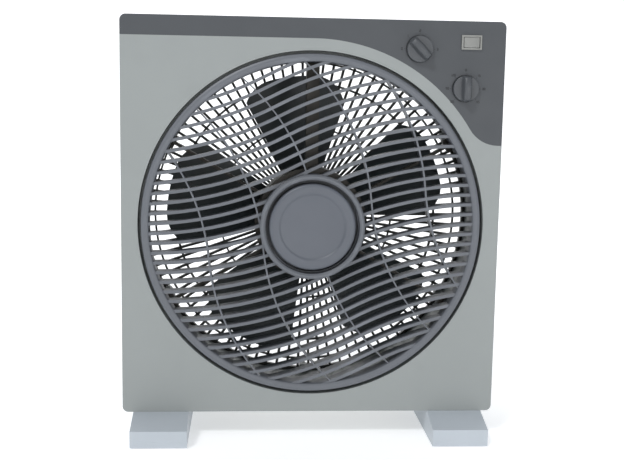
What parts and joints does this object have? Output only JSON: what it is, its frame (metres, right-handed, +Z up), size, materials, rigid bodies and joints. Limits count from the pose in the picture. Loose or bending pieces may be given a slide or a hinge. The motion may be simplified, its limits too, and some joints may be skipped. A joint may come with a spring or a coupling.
{
  "type": "box fan",
  "caption": "Light grey square box fan with a rotating swirl louvre grille, a dark control panel with speed and timer dials, a warm grey swing rocker and two long feet",
  "frame": {"origin": "on the floor under the middle of the body's width and depth, at the underside of the foot pads", "axes": "+Z up, the fan blows towards -Y, +X is to the right seen from the front"},
  "size_m": [0.385, 0.192, 0.43],
  "materials": {
    "housing_plastic": "fine moulded grain, light grey with a faint green cast",
    "panel_plastic": "fine moulded grain, dark slate grey",
    "guard_plastic": "moulded, dark grey brown",
    "bracket_plastic": "moulded, dark brownish grey",
    "louvre_plastic": "satin moulded, bluish grey",
    "cap_plastic": "satin moulded, grey",
    "blade_plastic": "smooth moulded, dark green grey",
    "foot_plastic": "fine moulded grain, light bluish grey",
    "rocker_plastic": "smooth moulded, warm light grey",
    "bezel_plastic": "smooth moulded, warm light grey",
    "switch_plastic": "moulded, off white",
    "black_plastic": "moulded, near black",
    "black_rubber": "soft moulded, black",
    "sleeve_rubber": "extruded sleeve, light grey",
    "zinc_steel": "zinc plated steel",
    "shaft_steel": "ground steel",
    "core_steel": "laminated electrical steel",
    "cast_aluminium": "die cast",
    "bush_bronze": "sintered bronze",
    "winding_varnish": "varnished copper wire"
  },
  "bodies": {
    "housing": {"front_housing": "housing_plastic", "rear_housing": "housing_plastic", "air_duct": "housing_plastic", "control_panel": "panel_plastic", "handle_cup": "panel_plastic", "rear_grille": "guard_plastic", "motor_bracket": "bracket_plastic", "swing_motor_body": "zinc_steel", "motor_front_bell": "cast_aluminium", "motor_rear_bell": "cast_aluminium", "stator_core": "core_steel", "stator_windings": "winding_varnish", "front_bush": "bush_bronze", "rear_bush": "bush_bronze", "speed_switch": "switch_plastic", "timer_body": "switch_plastic", "rocker_pin": "shaft_steel", "rocker_housing": "bezel_plastic", "capacitor": "switch_plastic", "terminal_block": "switch_plastic", "motor_leads": "sleeve_rubber", "cord_gland": "black_rubber", "foot_left": "foot_plastic", "foot_right": "foot_plastic", "foot_pads": "black_rubber", "foot_screws": "zinc_steel", "housing_screws": "zinc_steel", "bracket_screws": "zinc_steel", "motor_screws": "zinc_steel", "grille_screws": "zinc_steel"},
    "blade_rotor": {"rotor_core": "core_steel", "motor_shaft": "shaft_steel", "fan_blade": "blade_plastic", "blade_nut": "black_plastic"},
    "louvre": {"louvre_grille": "louvre_plastic", "louvre_nut": "black_plastic", "hub_cap": "cap_plastic", "swing_motor_shaft": "shaft_steel"},
    "speed_dial": {"speed_knob": "panel_plastic", "speed_shaft": "shaft_steel"},
    "timer_dial": {"timer_knob": "panel_plastic", "timer_shaft": "shaft_steel"},
    "swing_rocker": {"rocker_button": "rocker_plastic"}
  },
  "joints": [
    {"name": "blade_spin", "type": "hinge", "parent": "housing", "child": "blade_rotor", "pos_m": [0, 0, 0.222], "axis": [0, 1, 0], "continuous": true},
    {"name": "louvre_spin", "type": "hinge", "parent": "housing", "child": "louvre", "pos_m": [0, 0, 0.222], "axis": [0, 1, 0], "continuous": true},
    {"name": "speed_turn", "type": "hinge", "parent": "housing", "child": "speed_dial", "pos_m": [0.10494, 0, 0.40159], "axis": [0, 1, 0], "range_deg": [-45, 90]},
    {"name": "timer_turn", "type": "hinge", "parent": "housing", "child": "timer_dial", "pos_m": [0.15286, 0, 0.36306], "axis": [0, 1, 0], "range_deg": [0, 300]},
    {"name": "swing_rock", "type": "hinge", "parent": "housing", "child": "swing_rocker", "pos_m": [0.1574, -0.058, 0], "axis": [0, 0, 1], "range_deg": [0, 14]}
  ]
}
